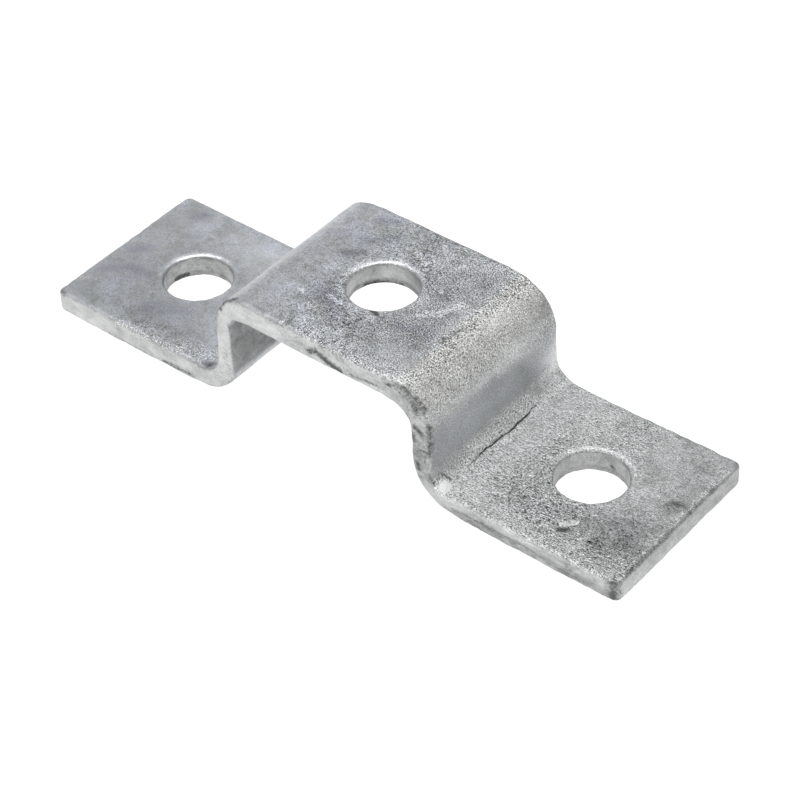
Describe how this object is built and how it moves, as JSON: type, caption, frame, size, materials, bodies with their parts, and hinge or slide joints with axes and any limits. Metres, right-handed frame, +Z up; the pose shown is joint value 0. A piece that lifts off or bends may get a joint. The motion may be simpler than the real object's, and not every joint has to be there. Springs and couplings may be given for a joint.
{
  "type": "u bracket",
  "caption": "Flat galvanised steel bar folded into a hat shape, with a raised top plate, two flanges and round punched bolt holes; clamps a strut channel to a surface.",
  "frame": {"origin": "on the surface the two flanges rest on, midway between their ends and midway across the bar", "axes": "+X along the bar, +Y across it, +Z up from the flanges to the top plate"},
  "size_m": [0.1386, 0.04, 0.0265],
  "materials": {
    "galvanised_steel": "hot-dip galvanised: matt mottled zinc grey with a fine grain"
  },
  "bodies": {
    "root": {"bracket": "galvanised_steel"}
  },
  "joints": []
}
